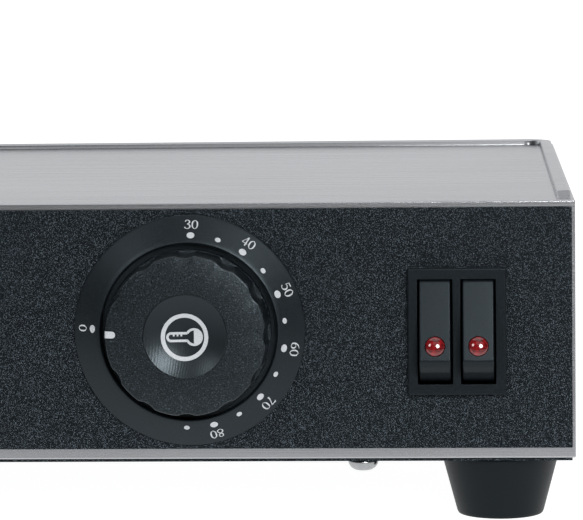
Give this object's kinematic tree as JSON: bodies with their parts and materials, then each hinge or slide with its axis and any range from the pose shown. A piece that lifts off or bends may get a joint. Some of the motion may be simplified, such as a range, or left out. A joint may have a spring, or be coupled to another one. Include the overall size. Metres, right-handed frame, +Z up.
{
  "type": "benchtop hot plate",
  "caption": "Low benchtop hot plate: brushed steel heated top, black control strip with a thermostat dial and twin lit rocker switch, tapered rubber feet.",
  "frame": {"origin": "on the bench under the middle of the bounding box", "axes": "+X to the user's right along the long side, +Y to the back, +Z up; the controls face -Y"},
  "size_m": [0.4, 0.2882, 0.0973],
  "materials": {
    "brushed_steel": "brushed stainless sheet",
    "zinc_steel": "zinc plated sheet",
    "screw_steel": "bright plated",
    "aluminium": "milled",
    "brass": "plain",
    "copper": "drawn copper",
    "textured_black": "fine textured black coating",
    "satin_black": "satin",
    "rubber_black": "satin moulded",
    "red_lens": "clear red",
    "ceramic_fibre": "fibre blanket",
    "phenolic": "moulded",
    "brown_wire": "insulation",
    "blue_wire": "insulation",
    "green_wire": "insulation",
    "red_wire": "insulation"
  },
  "bodies": {
    "case": {"bottom_cover": "textured_black", "bulb_clip": "zinc_steel", "capillary_tube": "copper", "control_panel": "textured_black", "cover_screw_front_left": "screw_steel", "cover_screw_front_right": "screw_steel", "cover_screw_rear_left": "screw_steel", "cover_screw_rear_right": "screw_steel", "dial_bezel": "satin_black", "earth_stud": "brass", "element_clamp_left": "zinc_steel", "element_clamp_right": "zinc_steel", "foot_front_left": "rubber_black", "foot_front_right": "rubber_black", "foot_rear_left": "rubber_black", "foot_rear_right": "rubber_black", "foot_screw_front_left": "screw_steel", "foot_screw_front_right": "screw_steel", "foot_screw_rear_left": "screw_steel", "foot_screw_rear_right": "screw_steel", "heat_shield": "zinc_steel", "heating_element": "zinc_steel", "heating_plate": "aluminium", "inlet_housing": "phenolic", "inlet_pin_earth": "brass", "inlet_pin_live": "brass", "inlet_pin_neutral": "brass", "inlet_screw_left": "screw_steel", "inlet_screw_right": "screw_steel", "insulation_blanket": "ceramic_fibre", "sensing_bulb": "copper", "standoff_front_left": "zinc_steel", "standoff_front_right": "zinc_steel", "standoff_rear_left": "zinc_steel", "standoff_rear_right": "zinc_steel", "switch_housing": "satin_black", "switch_terminal_1": "brass", "switch_terminal_2": "brass", "switch_terminal_3": "brass", "switch_terminal_4": "brass", "terminal_block": "phenolic", "thermal_cutout": "phenolic", "thermostat_body": "phenolic", "thermostat_bracket": "zinc_steel", "thermostat_screw_left": "screw_steel", "thermostat_screw_right": "screw_steel", "top_shell": "brushed_steel", "wire_earth": "green_wire", "wire_element_live": "brown_wire", "wire_element_neutral": "blue_wire", "wire_live": "brown_wire", "wire_neutral": "blue_wire", "wire_switched": "red_wire"},
    "dial_knob": {"knob": "satin_black", "knob_cap": "satin_black", "thermostat_shaft": "aluminium"},
    "left_rocker": {"rocker_left": "satin_black", "lens_left": "red_lens"},
    "right_rocker": {"rocker_right": "satin_black", "lens_right": "red_lens"}
  },
  "joints": [
    {"name": "knob_turn", "type": "hinge", "parent": "case", "child": "dial_knob", "pos_m": [0.087, -0.12785, 0.058], "axis": [0, 1, 0], "range_deg": [0, 270]},
    {"name": "left_rocker_tilt", "type": "hinge", "parent": "case", "child": "left_rocker", "pos_m": [0.159, -0.12095, 0.0573], "axis": [1, 0, 0], "range_deg": [0, 32]},
    {"name": "right_rocker_tilt", "type": "hinge", "parent": "case", "child": "right_rocker", "pos_m": [0.1716, -0.12095, 0.0573], "axis": [1, 0, 0], "range_deg": [0, 32]}
  ]
}
